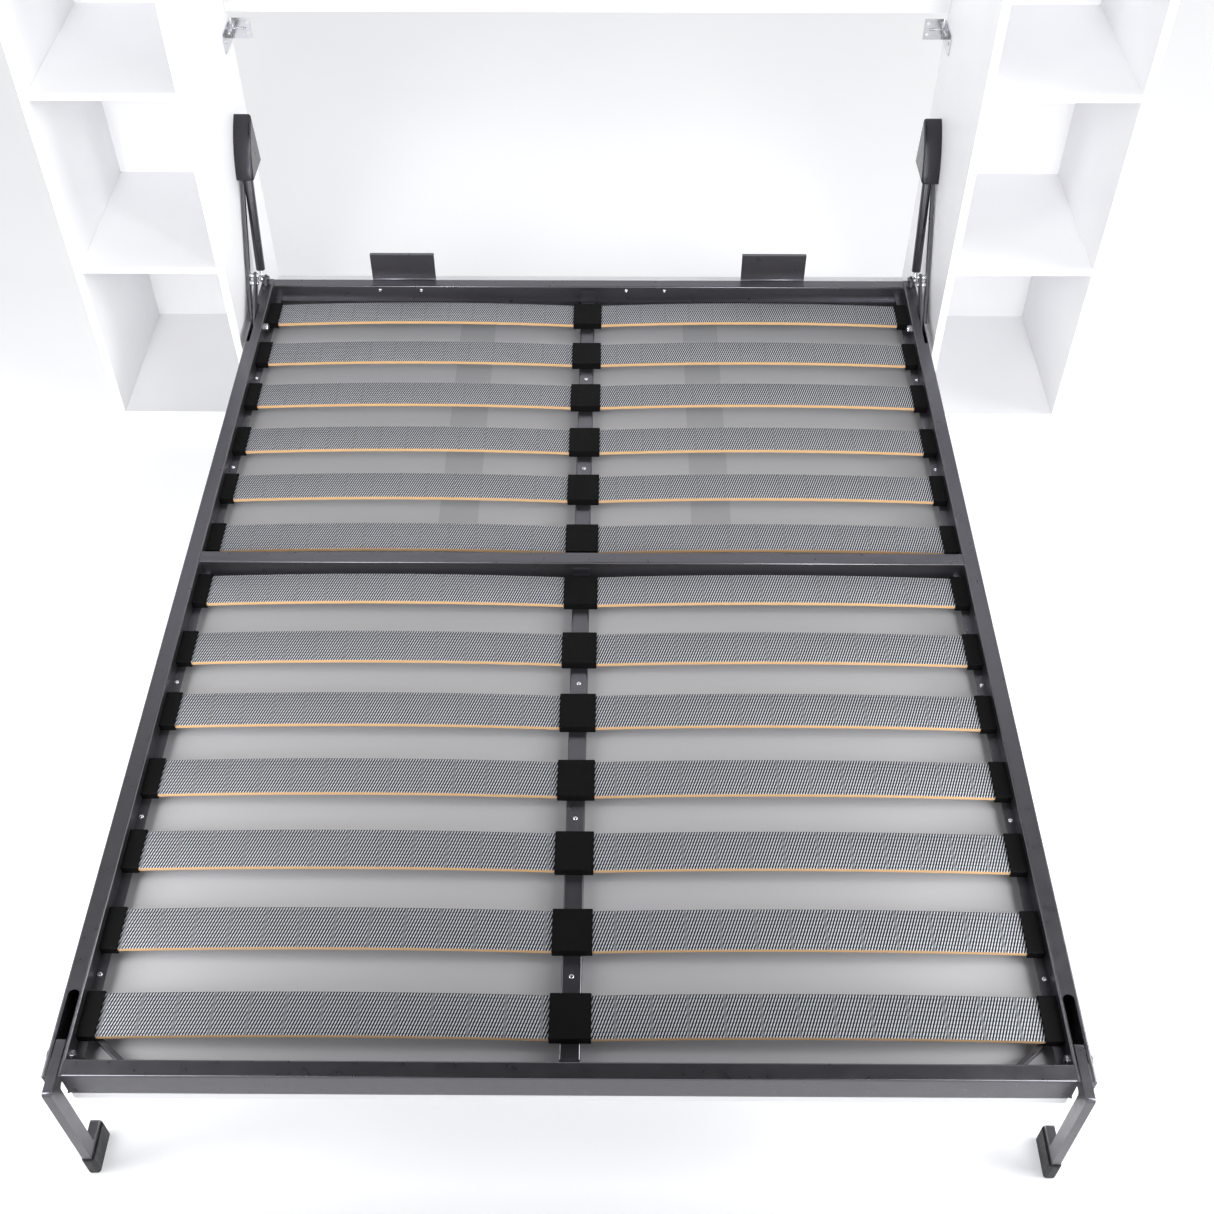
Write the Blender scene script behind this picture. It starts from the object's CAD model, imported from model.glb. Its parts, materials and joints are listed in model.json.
"""Looks of the murphy wall bed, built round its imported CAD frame. Metres, +Z up, wall at +Y."""

import json
import math
import random

import bmesh
import bpy
from mathutils import Matrix, Vector


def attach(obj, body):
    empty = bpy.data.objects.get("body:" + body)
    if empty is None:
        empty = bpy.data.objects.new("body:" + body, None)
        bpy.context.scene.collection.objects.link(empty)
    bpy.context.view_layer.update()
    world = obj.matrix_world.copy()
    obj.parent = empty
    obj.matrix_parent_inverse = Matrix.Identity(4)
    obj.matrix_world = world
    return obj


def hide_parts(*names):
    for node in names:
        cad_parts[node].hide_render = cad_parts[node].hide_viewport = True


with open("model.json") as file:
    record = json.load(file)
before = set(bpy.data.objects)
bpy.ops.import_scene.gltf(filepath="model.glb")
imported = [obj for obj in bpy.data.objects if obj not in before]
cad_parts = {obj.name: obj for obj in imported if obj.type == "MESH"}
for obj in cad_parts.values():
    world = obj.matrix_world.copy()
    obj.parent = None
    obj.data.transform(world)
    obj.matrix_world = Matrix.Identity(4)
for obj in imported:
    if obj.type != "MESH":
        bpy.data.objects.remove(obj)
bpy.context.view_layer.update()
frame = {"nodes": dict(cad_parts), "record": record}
scene = bpy.context.scene
random.seed(11)

SIDES = ((-1, "left"), (1, "right"))


# ---------------------------------------------------------------- material building blocks
class Shader:
    """A material with a Principled shader, and short ways to add nodes to it."""

    def __init__(self, name, roughness, metallic=0.0, specular=0.5):
        self.material = bpy.data.materials.new(name)
        self.material.use_nodes = True
        self.tree = self.material.node_tree
        self.bsdf = self.tree.nodes["Principled BSDF"]
        self.bsdf.inputs["Roughness"].default_value = roughness
        self.bsdf.inputs["Metallic"].default_value = metallic
        self.bsdf.inputs["Specular IOR Level"].default_value = specular
        self.coordinates = self.tree.nodes.new("ShaderNodeTexCoord")
        self.place = self.coordinates.outputs["Object"]

    def connect(self, value, socket):
        """Link an output to a socket, or write a plain number or colour on it."""
        if isinstance(value, bpy.types.NodeSocket):
            self.tree.links.new(value, socket)
        elif isinstance(value, (tuple, list)) and len(value) == 3 and socket.type == "RGBA":
            socket.default_value = (*value, 1)
        else:
            socket.default_value = value

    def math(self, operation, first, second=0.0):
        node = self.tree.nodes.new("ShaderNodeMath")
        node.operation = operation
        for value, socket in zip((first, second), node.inputs):
            self.connect(value, socket)
        return node.outputs[0]

    def split(self, vector):
        node = self.tree.nodes.new("ShaderNodeSeparateXYZ")
        self.connect(vector, node.inputs[0])
        return node.outputs

    def stretch(self, x, y, z):
        """The object's coordinates, multiplied along each axis."""
        node = self.tree.nodes.new("ShaderNodeVectorMath")
        node.operation = "MULTIPLY"
        self.connect(self.place, node.inputs[0])
        node.inputs[1].default_value = (x, y, z)
        return node.outputs[0]

    def noise(self, scale, detail=3.0, vector=None):
        node = self.tree.nodes.new("ShaderNodeTexNoise")
        self.connect(vector or self.place, node.inputs["Vector"])
        node.inputs["Scale"].default_value = scale
        node.inputs["Detail"].default_value = detail
        return node.outputs["Fac"]

    def span(self, value, low, high, to_low=0.0, to_high=1.0, smooth=False):
        """Map a value from one span to another, and stay inside the second."""
        node = self.tree.nodes.new("ShaderNodeMapRange")
        node.interpolation_type = "SMOOTHSTEP" if smooth else "LINEAR"
        for number, socket in zip((value, low, high, to_low, to_high), node.inputs):
            self.connect(number, socket)
        return node.outputs[0]

    def mix(self, factor, first, second):
        """Mix two colours."""
        node = self.tree.nodes.new("ShaderNodeMix")
        node.data_type = "RGBA"
        self.connect(factor, node.inputs[0])
        self.connect(first, node.inputs[6])
        self.connect(second, node.inputs[7])
        return node.outputs[2]

    def bump(self, height, distance, strength=1.0):
        node = self.tree.nodes.new("ShaderNodeBump")
        node.inputs["Strength"].default_value = strength
        node.inputs["Distance"].default_value = distance
        self.connect(height, node.inputs["Height"])
        return node.outputs[0]

    def finish(self, colour, roughness=None, normal=None):
        self.connect(colour, self.bsdf.inputs["Base Color"])
        if roughness is not None:
            self.connect(roughness, self.bsdf.inputs["Roughness"])
        if normal is not None:
            self.connect(normal, self.bsdf.inputs["Normal"])
        return self.material


# ---------------------------------------------------------------- materials
BOARD_TONES = ((0.868, 0.868, 0.886), (0.906, 0.906, 0.920))


def laminate(name="laminate", upper_tone=None):
    """White melamine-faced board, finely textured; faces that look up can have another tone."""
    s = Shader(name, 0.42, specular=0.3)
    clouds = s.noise(6, 4)
    colour = s.mix(clouds, *BOARD_TONES)
    if upper_tone:
        upward = s.span(s.split(s.coordinates.outputs["Normal"])[2], 0.5, 0.9)
        colour = s.mix(upward, colour, upper_tone)
    grain = s.noise(900, 2)
    rough = s.span(s.noise(40, 3), 0.3, 0.7, 0.36, 0.48)
    return s.finish(colour, rough, s.bump(grain, 0.00003, 0.5))


FLECK_SHARE, FLECK_GAIN = 0.06, 1.8


def powder_coat(name, dark, light, roughness, metallic, peel=0.00004):
    """Satin powder coat: orange peel, faint metallic flecks and uneven gloss."""
    s = Shader(name, roughness, metallic, 0.5)
    flecks = s.span(s.noise(2600, 1), 0.52, 0.72)
    drift = s.noise(9, 4)
    colour = s.mix(drift, dark, light)
    fleck_colour = tuple(FLECK_GAIN * channel for channel in light)
    colour = s.mix(s.math("MULTIPLY", flecks, FLECK_SHARE), colour, fleck_colour)
    rough = s.span(s.noise(60, 4), 0.3, 0.7, roughness - 0.03, roughness + 0.04)
    return s.finish(colour, rough, s.bump(s.noise(420, 2), peel, 0.5))


SLAT_INNER, SLAT_LENGTH = 0.012, 0.767
SLAT_LOW, SLAT_RISE, SLAT_THICKNESS = 0.2654, 0.010, 0.008
RIBS_PER_METRE, RIB_LEAN = 203.0, 72.0
DASH_LENGTH = 0.0071
TILE_LENGTH, TILE_START, TILE_SEAM = 0.05875, 0.1306, 0.0042
THREAD_WANDER, THREAD_CORE, THREAD_EDGE = 0.12, 0.12, 0.30
DASH_CORE, DASH_EDGE, DASH_GAP = 0.2, 0.5, 0.5
SEAM_STRENGTH, SEAM_TONE = 0.75, 0.28
FILM_DARK, FILM_LIGHT = (0.006, 0.0065, 0.008), (0.52, 0.54, 0.575)
PLY_DARK, PLY_LIGHT, FIBRE = (0.62, 0.36, 0.17), (0.80, 0.55, 0.31), (0.45, 0.25, 0.11)
PLIES = 3.5


def slat_film():
    """Bent plywood with a woven-look film on its faces and bare plies at its edges."""
    s = Shader("slat_film", 0.55, specular=0.15)
    x, y, z = s.split(s.place)
    rib = s.math("SUBTRACT", s.math("MULTIPLY", x, RIBS_PER_METRE), s.math("MULTIPLY", y, RIB_LEAN))
    wander = s.math("MULTIPLY", s.math("SUBTRACT", s.noise(90, 2), 0.5), THREAD_WANDER)
    across = s.math("ABSOLUTE", s.math("SUBTRACT", s.math("FRACT", s.math("ADD", rib, wander)), 0.5))
    thread = s.span(across, THREAD_CORE, THREAD_EDGE, 1.0, 0.0, smooth=True)
    row = s.math("FRACT", s.math("DIVIDE", y, DASH_LENGTH))
    along = s.math("ABSOLUTE", s.math("SUBTRACT", row, 0.5))
    dash = s.span(along, DASH_CORE, DASH_EDGE, 1.0, DASH_GAP, smooth=True)
    light = s.math("MULTIPLY", thread, dash)
    tile = s.math("FRACT", s.math("ADD", s.math("DIVIDE", s.math("SUBTRACT", x, TILE_START),
                                                TILE_LENGTH), 0.5))
    seam = s.math("ABSOLUTE", s.math("SUBTRACT", tile, 0.5))
    seam = s.span(seam, 0.2 * TILE_SEAM / TILE_LENGTH, 0.8 * TILE_SEAM / TILE_LENGTH,
                  SEAM_STRENGTH, 0.0)
    light = s.math("ADD", s.math("MULTIPLY", light, s.math("SUBTRACT", 1.0, seam)),
                   s.math("MULTIPLY", seam, SEAM_TONE))
    film = s.mix(light, FILM_DARK, FILM_LIGHT)
    # Plies follow the bow of the slat.
    share = s.math("DIVIDE", s.math("SUBTRACT", s.math("ABSOLUTE", x), SLAT_INNER), SLAT_LENGTH)
    bow = s.math("SUBTRACT", 1.0, s.math("POWER", s.math("ABSOLUTE", s.math(
        "SUBTRACT", s.math("MULTIPLY", share, 2.0), 1.0)), 2.0))
    level = s.math("SUBTRACT", s.math("SUBTRACT", z, SLAT_LOW), s.math("MULTIPLY", bow, SLAT_RISE))
    ply = s.math("SINE", s.math("MULTIPLY", level, 2 * math.pi / (SLAT_THICKNESS / PLIES)))
    fibres = s.noise(60, 4, s.stretch(1.0, 12.0, 12.0))
    wood = s.mix(s.span(ply, -0.6, 0.6), PLY_DARK, PLY_LIGHT)
    wood = s.mix(s.math("MULTIPLY", fibres, 0.5), wood, FIBRE)
    upright = s.math("ABSOLUTE", s.split(s.coordinates.outputs["Normal"])[2])
    face = s.span(upright, 0.45, 0.6)
    colour = s.mix(face, wood, film)
    weave = s.bump(s.math("MULTIPLY", light, face), 0.00025, 0.6)
    rough = s.span(light, 0.0, 1.0, 0.38, 0.6)
    return s.finish(colour, rough, weave)


def moulded_plastic(name, colour, lighter, roughness, grain=1400, depth=0.00004, specular=0.4):
    """Moulded plastic or rubber with a fine spark-eroded texture."""
    s = Shader(name, roughness, specular=specular)
    base = s.mix(s.noise(25, 4), colour, lighter)
    rough = s.span(s.noise(120, 3), 0.3, 0.7, roughness - 0.06, roughness + 0.08)
    return s.finish(base, rough, s.bump(s.noise(grain, 2), depth, 0.7))


def plated_steel(name, base, tint, roughness, stretch=(1, 1, 1), strokes=400):
    """Bright plated steel with fine drawn lines and patches of duller plating."""
    s = Shader(name, roughness, 1.0)
    patches = s.noise(35, 4)
    lines = s.noise(strokes, 3, s.stretch(*stretch))
    colour = s.mix(patches, base, tint)
    rough = s.span(s.math("ADD", s.math("MULTIPLY", lines, 0.6), s.math("MULTIPLY", patches, 0.4)),
                   0.35, 0.65, roughness - 0.08, roughness + 0.12)
    return s.finish(colour, rough, s.bump(lines, 0.00002, 0.5))


SLOT_MATERIALS = {
    "laminate": laminate(),
    "frame_paint": powder_coat("frame_paint", (0.128, 0.126, 0.140), (0.141, 0.138, 0.153),
                               0.30, 0.9),
    "cover_plastic": powder_coat("cover_plastic", (0.052, 0.0515, 0.058), (0.060, 0.059, 0.066),
                                 0.24, 0.9, 0.000008),
    "slat_ply": slat_film(),
    "holder_plastic": moulded_plastic("holder_plastic", (0.002, 0.002, 0.0022),
                                      (0.0035, 0.0035, 0.0037), 0.62, specular=0.1),
    "zinc": plated_steel("zinc", (0.80, 0.81, 0.83), (0.70, 0.71, 0.74), 0.2),
    "rod_steel": plated_steel("rod_steel", (0.80, 0.80, 0.82), (0.72, 0.72, 0.75), 0.16,
                              (1, 1, 0.05)),
    "cylinder_paint": powder_coat("cylinder_paint", (0.085, 0.084, 0.092), (0.10, 0.098, 0.108),
                                  0.3, 0.85, 0.00001),
    "rubber": moulded_plastic("rubber", (0.022, 0.022, 0.023), (0.034, 0.034, 0.035), 0.62,
                              900, 0.00006),
}

PANEL_MATERIAL = laminate("panel_laminate", (0.47, 0.47, 0.485))
STRIP_MATERIAL = moulded_plastic("joint_strip", (0.385, 0.385, 0.40), (0.40, 0.40, 0.415), 0.5)


# ---------------------------------------------------------------- CAD nodes
# Widths of the softened edges, in metres.
BEVELS = {"laminate": 0.0006, "frame_paint": 0.0005, "cover_plastic": 0.0004, "slat_ply": 0.0006,
          "holder_plastic": 0.0014, "zinc": 0.0003, "rod_steel": 0.0002, "cylinder_paint": 0.0003,
          "rubber": 0.0015}


WELD_DISTANCE = 0.000005
BEVELLED_FROM = 40


def dress_nodes():
    """Give each CAD node its slot's material and softened edges."""
    for part in frame["record"]["subparts"]:
        node = frame["nodes"][part["node"]]
        slot = part["material_slot"]
        node.data.materials.clear()
        panel = part["node"].startswith("face_panel")
        node.data.materials.append(PANEL_MATERIAL if panel else SLOT_MATERIALS[slot])
        weld = node.modifiers.new("weld", "WELD")
        weld.merge_threshold = WELD_DISTANCE
        bevel = node.modifiers.new("bevel", "BEVEL")
        bevel.width = BEVELS[slot]
        bevel.segments = 2
        bevel.limit_method = "ANGLE"
        bevel.angle_limit = math.radians(BEVELLED_FROM)
        bevel.harden_normals = True
        bevel.use_clamp_overlap = True


dress_nodes()


# ---------------------------------------------------------------- detail pieces, in millimetres
FRAME_FOOT = -1145.25
RAIL_INNER = 785
RAIL_BOTTOM, RAIL_TOP = 235, 295
LEDGE_TOP = 262
CORNERS = 24


def ring_radius(radius, corners, angle):
    """Distance from the axis to a round or polygonal outline; radius is across the flats."""
    if not corners:
        return radius
    sector = 2 * math.pi / corners
    return radius / math.cos((angle + sector / 2) % sector - sector / 2)


def add_turned(bm, profile, origin, axis):
    """Add a closed turned solid; profile holds (radius, height, corners) from foot to tip."""
    axis = Vector(axis)
    helper = Vector((0, 0, 1)) if abs(axis.z) < 0.5 else Vector((1, 0, 0))
    across = axis.cross(helper).normalized()
    upward = axis.cross(across)
    rings = []
    for radius, height, corners in profile:
        ring = []
        for step in range(CORNERS):
            angle = 2 * math.pi * step / CORNERS
            reach = ring_radius(radius, corners, angle)
            place = (Vector(origin) + height * axis + reach * math.cos(angle) * across
                     + reach * math.sin(angle) * upward)
            ring.append(bm.verts.new(place / 1000))
        rings.append(ring)
    for lower, upper in zip(rings, rings[1:]):
        for step in range(CORNERS):
            after = (step + 1) % CORNERS
            bm.faces.new((lower[step], lower[after], upper[after], upper[step]))
    bm.faces.new(rings[0][::-1])
    bm.faces.new(rings[-1])


def finish_piece(bm, name, slot, smooth_angle=35, material=None):
    """Turn a bmesh into an object with its slot's material and smooth round faces."""
    bmesh.ops.recalc_face_normals(bm, faces=bm.faces)
    mesh = bpy.data.meshes.new(name)
    bm.to_mesh(mesh)
    bm.free()
    mesh.materials.append(material or SLOT_MATERIALS[slot])
    mesh.shade_smooth()
    mesh.set_sharp_from_angle(angle=math.radians(smooth_angle))
    piece = bpy.data.objects.new(name, mesh)
    scene.collection.objects.link(piece)
    return piece


SCREW_HEAD = ((4.5, 0, 0), (4.5, 0.7, 0), (4.2, 1.5, 0), (3.4, 2.2, 0), (2.3, 2.5, 0),
              (1.5, 2.5, 6), (1.4, 1.2, 6))
FRAME_SCREW_ROWS = (192, 504, 816, 1432, 1744)
FRAME_SCREW_INSET = 7
REAR_SCREWS = (-519, -416, 95, 190)
REAR_BEAM_FRONT, REAR_SCREW_HEIGHT = 2066, 283
WALL_DISTANCE = 2325
BRACKET_FACE, BRACKET_SCREW_HEIGHT = 832, 835
BRACKET_SCREW_INSETS = (30, 70)


def frame_screws():
    """Screws through the ledges and the rear beam, with hexagon sockets."""
    bm = bmesh.new()
    for row in FRAME_SCREW_ROWS:
        for x in (-RAIL_INNER + FRAME_SCREW_INSET, 0, RAIL_INNER - FRAME_SCREW_INSET):
            add_turned(bm, SCREW_HEAD, (x, FRAME_FOOT + row, LEDGE_TOP), (0, 0, 1))
    for x in REAR_SCREWS:
        add_turned(bm, SCREW_HEAD, (x, FRAME_FOOT + REAR_BEAM_FRONT, REAR_SCREW_HEIGHT),
                   (0, -1, 0))
    piece = finish_piece(bm, "frame_screw_heads", "zinc")
    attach(piece, "bed")
    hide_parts("frame_screws")


def bracket_screws():
    """Screws that hold the wall brackets to the inner side boards."""
    bm = bmesh.new()
    for side, _ in SIDES:
        for inset in BRACKET_SCREW_INSETS:
            place = (side * BRACKET_FACE, FRAME_FOOT + WALL_DISTANCE - inset, BRACKET_SCREW_HEIGHT)
            add_turned(bm, SCREW_HEAD, place, (-side, 0, 0))
    piece = finish_piece(bm, "bracket_screw_heads", "zinc")
    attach(piece, "cabinet")
    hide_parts("wall_bracket_screws")


BED_PIVOT, LEG_PIVOT = (1928, 272), (43, 278)
BOLT_TIP_INSET = 10
BOLT_TIP = [(4.0, 0, 0), (5.0, 0.5, 0), (4.4, 1.0, 0), (5.0, 1.5, 0), (4.4, 2.0, 0), (5.0, 2.5, 0)]
BOLT_SHANK = [(5, 3.2, 0), (5, 41, 0)]
BOLT_HEAD = [(9, 41, 0), (9, 43.4, 0), (8.2, 45, 0), (6, 46, 0), (3.6, 46, 6), (3.5, 43.2, 6)]


def pivot_bolts():
    """Shouldered bolts: thread beyond the nut, domed head with a socket outside."""
    profile = BOLT_TIP + BOLT_SHANK + BOLT_HEAD
    bm = bmesh.new()
    for side, _ in SIDES:
        for distance, height in (BED_PIVOT, LEG_PIVOT):
            place = (side * (RAIL_INNER - BOLT_TIP_INSET), FRAME_FOOT + distance, height)
            add_turned(bm, profile, place, (side, 0, 0))
    piece = finish_piece(bm, "pivot_bolts_turned", "frame_paint")
    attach(piece, "bed")
    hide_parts("pivot_bolts")


# Faces of the beams that are welded to the rails, and which way they look along the bed.
WELDED_FACES = ((29, 1), (1109, -1), (1140, 1), (2066, -1))
BEAD_STEPS, BEAD_TURNS = 48, 6
BEAD_END_GAP, BEAD_ROOT = 4, 0.4
BEAD_REACH, BEAD_RIPPLE, BEAD_SCATTER = 1.7, 0.35, 0.12
RIPPLE_PER_STEP = 1.9


def bead_ring(bm, base, height, reach, side, out):
    """One cross-section of a bead: a quarter circle and a point inside the corner."""
    ring = []
    for turn in range(BEAD_TURNS + 1):
        angle = math.pi / 2 * turn / BEAD_TURNS
        place = base + Vector((-side * reach * math.cos(angle), out * reach * math.sin(angle), height))
        ring.append(bm.verts.new(place / 1000))
    root = base + Vector((side * BEAD_ROOT, -out * BEAD_ROOT, height))
    ring.append(bm.verts.new(root / 1000))
    return ring


def weld_beads():
    """Rippled beads in the corners between the rails and the beams."""
    bm = bmesh.new()
    length = RAIL_TOP - RAIL_BOTTOM - 2 * BEAD_END_GAP
    for side, _ in SIDES:
        for distance, out in WELDED_FACES:
            base = Vector((side * RAIL_INNER, FRAME_FOOT + distance, 0))
            rings = []
            for step in range(BEAD_STEPS + 1):
                height = RAIL_BOTTOM + BEAD_END_GAP + step * length / BEAD_STEPS
                scatter = random.uniform(-BEAD_SCATTER, BEAD_SCATTER)
                reach = BEAD_REACH + BEAD_RIPPLE * math.cos(RIPPLE_PER_STEP * step) + scatter
                rings.append(bead_ring(bm, base, height, reach, side, out))
            for lower, upper in zip(rings, rings[1:]):
                for step in range(len(lower)):
                    after = (step + 1) % len(lower)
                    bm.faces.new((lower[step], lower[after], upper[after], upper[step]))
            bm.faces.new(rings[0][::-1])
            bm.faces.new(rings[-1])
    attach(finish_piece(bm, "weld_beads", "frame_paint", smooth_angle=80), "bed")


STRIP_CENTRES = (-270.5, 277)
STRIP_WIDTH, STRIP_THICKNESS = 85, 0.6
STRIP_START, STRIP_END = 1144, 2062
BOX_FACES = ((3, 2, 1, 0), (4, 5, 6, 7), (0, 1, 5, 4), (1, 2, 6, 5), (2, 3, 7, 6), (3, 0, 4, 7))


def joint_strips():
    """Flat strips that cover the joints between the boards of the face, under the head half."""
    bm = bmesh.new()
    for centre in STRIP_CENTRES:
        low = (centre - STRIP_WIDTH / 2, FRAME_FOOT + STRIP_START, RAIL_BOTTOM)
        corners = [(low[0] + STRIP_WIDTH * i, low[1] + (STRIP_END - STRIP_START) * j,
                    low[2] + STRIP_THICKNESS * k)
                   for k in (0, 1) for i, j in ((0, 0), (1, 0), (1, 1), (0, 1))]
        verts = [bm.verts.new(Vector(corner) / 1000) for corner in corners]
        for face in BOX_FACES:
            bm.faces.new([verts[corner] for corner in face])
    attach(finish_piece(bm, "face_joint_strips", "laminate", material=STRIP_MATERIAL), "bed")


frame_screws()
bracket_screws()
pivot_bolts()
weld_beads()
joint_strips()


# ---------------------------------------------------------------- floor, light and camera
FLOOR_GLOW, FLOOR_REACH = 0.18, 14
HORIZON, ZENITH, RIGHT_BIAS = 1.12, 0.02, 0.2
HORIZON_UP_TO, ZENITH_FROM = 0.70, 0.80
# Place, aim, size in metres, and power in watts.
FRONT_LIGHT = ((0.4, -8.0, 1.9), (0, 0, 0.6), (7.0, 3.0), 45)
KEY_LIGHT = ((6.5, -0.6, 3.0), (0, 0, 0.2), (2.2, 1.6), 155)
TOWER_LIGHT_SIZE, TOWER_POWER = (0.4, 2.2), 30

CAMERA_PLACE = (0.0679, -2.14155, 2.4663)
CAMERA_PITCH, CAMERA_YAW, CAMERA_ROLL = 47.59, -0.41, -0.08
CAMERA_LENS, CAMERA_SENSOR = 43.73, 36


def make_floor():
    """Pale floor that glows a little, so that it stays white."""
    s = Shader("floor", 0.7, specular=0.1)
    s.finish(s.mix(s.noise(3, 2), (0.90, 0.90, 0.91), (0.93, 0.93, 0.94)))
    s.bsdf.inputs["Emission Color"].default_value = (1, 1, 1, 1)
    s.bsdf.inputs["Emission Strength"].default_value = FLOOR_GLOW
    mesh = bpy.data.meshes.new("floor")
    reach = FLOOR_REACH
    mesh.from_pydata([(-reach, -reach, 0), (reach, -reach, 0), (reach, reach, 0), (-reach, reach, 0)],
                     [], [(0, 1, 2, 3)])
    mesh.materials.append(s.material)
    floor = bpy.data.objects.new("floor", mesh)
    scene.collection.objects.link(floor)


def make_world():
    """Studio with bright walls, a little brighter to the right, and a dark ceiling."""
    world = bpy.data.worlds.new("studio")
    scene.world = world
    world.use_nodes = True
    tree = world.node_tree
    background = tree.nodes["Background"]
    place = tree.nodes.new("ShaderNodeTexCoord")
    split = tree.nodes.new("ShaderNodeSeparateXYZ")
    tree.links.new(place.outputs["Generated"], split.inputs[0])
    height = tree.nodes.new("ShaderNodeMapRange")
    height.interpolation_type = "SMOOTHSTEP"
    for number, socket in zip((0, HORIZON_UP_TO, ZENITH_FROM, HORIZON, ZENITH), height.inputs):
        socket.default_value = number
    tree.links.new(split.outputs[2], height.inputs[0])
    bias = tree.nodes.new("ShaderNodeMath")
    bias.operation = "MULTIPLY_ADD"
    bias.inputs[1].default_value = RIGHT_BIAS
    bias.inputs[2].default_value = 1
    tree.links.new(split.outputs[0], bias.inputs[0])
    strength = tree.nodes.new("ShaderNodeMath")
    strength.operation = "MULTIPLY"
    tree.links.new(height.outputs[0], strength.inputs[0])
    tree.links.new(bias.outputs[0], strength.inputs[1])
    tree.links.new(strength.outputs[0], background.inputs["Strength"])
    background.inputs["Color"].default_value = (0.97, 0.98, 1.0, 1)


def area_light(name, place, target, size, power):
    light = bpy.data.lights.new(name, "AREA")
    light.shape = "RECTANGLE"
    light.size, light.size_y = size
    light.energy = power
    lamp = bpy.data.objects.new(name, light)
    lamp.location = place
    lamp.rotation_euler = (Vector(target) - Vector(place)).to_track_quat("-Z", "Y").to_euler()
    scene.collection.objects.link(lamp)


def make_lights():
    area_light("front", *FRONT_LIGHT)
    area_light("key", *KEY_LIGHT)
    for side, name in SIDES:
        area_light(f"tower_{name}", (side * 1.1, -1.0, 1.5), (side * 1.03, 1.0, 1.0),
                   TOWER_LIGHT_SIZE, TOWER_POWER)


def make_camera():
    """A pinhole camera in front of the foot of the bed, looking down on it."""
    pitch, yaw, roll = (math.radians(angle) for angle in (CAMERA_PITCH, CAMERA_YAW, CAMERA_ROLL))
    forward = Vector((math.sin(yaw) * math.cos(pitch), math.cos(yaw) * math.cos(pitch),
                      -math.sin(pitch)))
    right = Vector((math.cos(yaw), -math.sin(yaw), 0))
    up = right.cross(forward)
    across = math.cos(roll) * right + math.sin(roll) * up
    upward = -math.sin(roll) * right + math.cos(roll) * up
    camera_data = bpy.data.cameras.new("camera")
    camera_data.sensor_width = CAMERA_SENSOR
    camera_data.lens = CAMERA_LENS
    camera = bpy.data.objects.new("camera", camera_data)
    turn = Matrix((across, upward, -forward)).transposed().to_4x4()
    camera.matrix_world = Matrix.Translation(CAMERA_PLACE) @ turn
    scene.collection.objects.link(camera)
    scene.camera = camera


make_floor()
make_world()
make_lights()
make_camera()
scene.view_settings.view_transform = "Standard"
